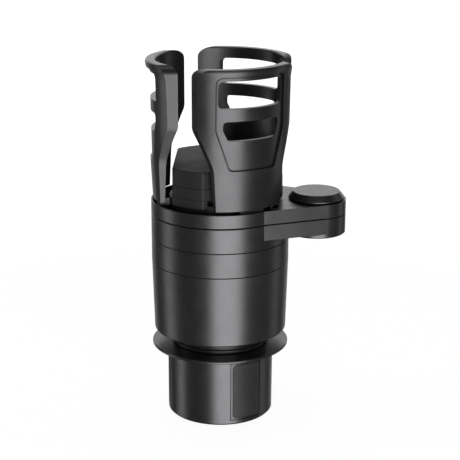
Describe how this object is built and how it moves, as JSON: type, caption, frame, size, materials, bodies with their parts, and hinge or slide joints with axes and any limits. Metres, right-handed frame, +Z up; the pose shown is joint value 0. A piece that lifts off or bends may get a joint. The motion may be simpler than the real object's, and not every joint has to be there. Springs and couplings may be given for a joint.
{
  "type": "cup holder expander",
  "caption": "Twist-lock cup holder expander: expanding plug, main cup and a slotted second holder that swings out on an arm.",
  "frame": {"origin": "centre of the plug's underside, on the plug's axis", "axes": "+Z up along the plug's axis, +X towards the pivot at the arm's end"},
  "size_m": [0.1301, 0.0958, 0.2393],
  "materials": {
    "black_plastic": "satin moulded",
    "seat_plastic": "matt moulded",
    "grip_rubber": "matt",
    "fastener_steel": "zinc plated",
    "nylon": "matt",
    "bush_brass": "turned"
  },
  "bodies": {
    "base": {"base_shell": "black_plastic", "base_cover": "black_plastic", "guide_plate": "black_plastic", "cover_screws": "fastener_steel"},
    "cup": {"scroll_plate": "black_plastic", "friction_ring": "nylon", "neck_ring": "black_plastic", "centre_bolt": "fastener_steel", "centre_washer": "fastener_steel", "centre_nut": "fastener_steel", "main_cup": "black_plastic", "cup_screws": "fastener_steel", "cup_mat": "grip_rubber", "trim_band": "black_plastic", "arm_collar": "black_plastic", "pivot_bolt": "fastener_steel", "arm_washer": "nylon", "pivot_washer": "fastener_steel", "spring_washer": "fastener_steel", "pivot_nut": "fastener_steel", "stop_pin": "fastener_steel"},
    "holder": {"holder_ring": "black_plastic", "pivot_bush": "bush_brass", "pivot_cap": "black_plastic", "guide_cover": "black_plastic", "guide_screws": "fastener_steel", "brake_pads": "grip_rubber", "seat_block_base": "seat_plastic", "seat_block_middle": "seat_plastic", "seat_block_top": "seat_plastic"},
    "jaw_set_1": {"jaw_1": "black_plastic", "jaw_pad_1": "grip_rubber"},
    "petal_set_1": {"petal_1": "black_plastic"},
    "jaw_set_2": {"jaw_2": "black_plastic", "jaw_pad_2": "grip_rubber"},
    "petal_set_2": {"petal_2": "black_plastic"},
    "jaw_set_3": {"jaw_3": "black_plastic", "jaw_pad_3": "grip_rubber"},
    "petal_set_3": {"petal_3": "black_plastic"}
  },
  "joints": [
    {"name": "twist", "type": "hinge", "parent": "base", "child": "cup", "pos_m": [0, 0, 0.0494], "axis": [0, 0, 1], "range_deg": [0, 100]},
    {"name": "swing", "type": "hinge", "parent": "cup", "child": "holder", "pos_m": [0.0628, 0, 0.1386], "axis": [0, 0, 1], "range_deg": [0, 180]},
    {"name": "jaw_1_slide", "type": "slide", "parent": "base", "child": "jaw_set_1", "axis": [-0.9994, -0.0349, 0], "range_m": [0, 0.007]},
    {"name": "petal_1_slide", "type": "slide", "parent": "holder", "child": "petal_set_1", "axis": [-1, 0, 0], "range_m": [-0.0035, 0]},
    {"name": "jaw_2_slide", "type": "slide", "parent": "base", "child": "jaw_set_2", "axis": [0.5299, -0.848, 0], "range_m": [0, 0.007]},
    {"name": "petal_2_slide", "type": "slide", "parent": "holder", "child": "petal_set_2", "axis": [0.5, -0.866, 0], "range_m": [-0.0035, 0]},
    {"name": "jaw_3_slide", "type": "slide", "parent": "base", "child": "jaw_set_3", "axis": [0.4695, 0.8829, 0], "range_m": [0, 0.007]},
    {"name": "petal_3_slide", "type": "slide", "parent": "holder", "child": "petal_set_3", "axis": [0.5, 0.866, 0], "range_m": [-0.0035, 0]}
  ],
  "couplings": [
    {"joint": "jaw_1_slide", "follows": "twist", "m_per_rad": 0.0040107},
    {"joint": "jaw_2_slide", "follows": "twist", "m_per_rad": 0.0040107},
    {"joint": "jaw_3_slide", "follows": "twist", "m_per_rad": 0.0040107}
  ]
}
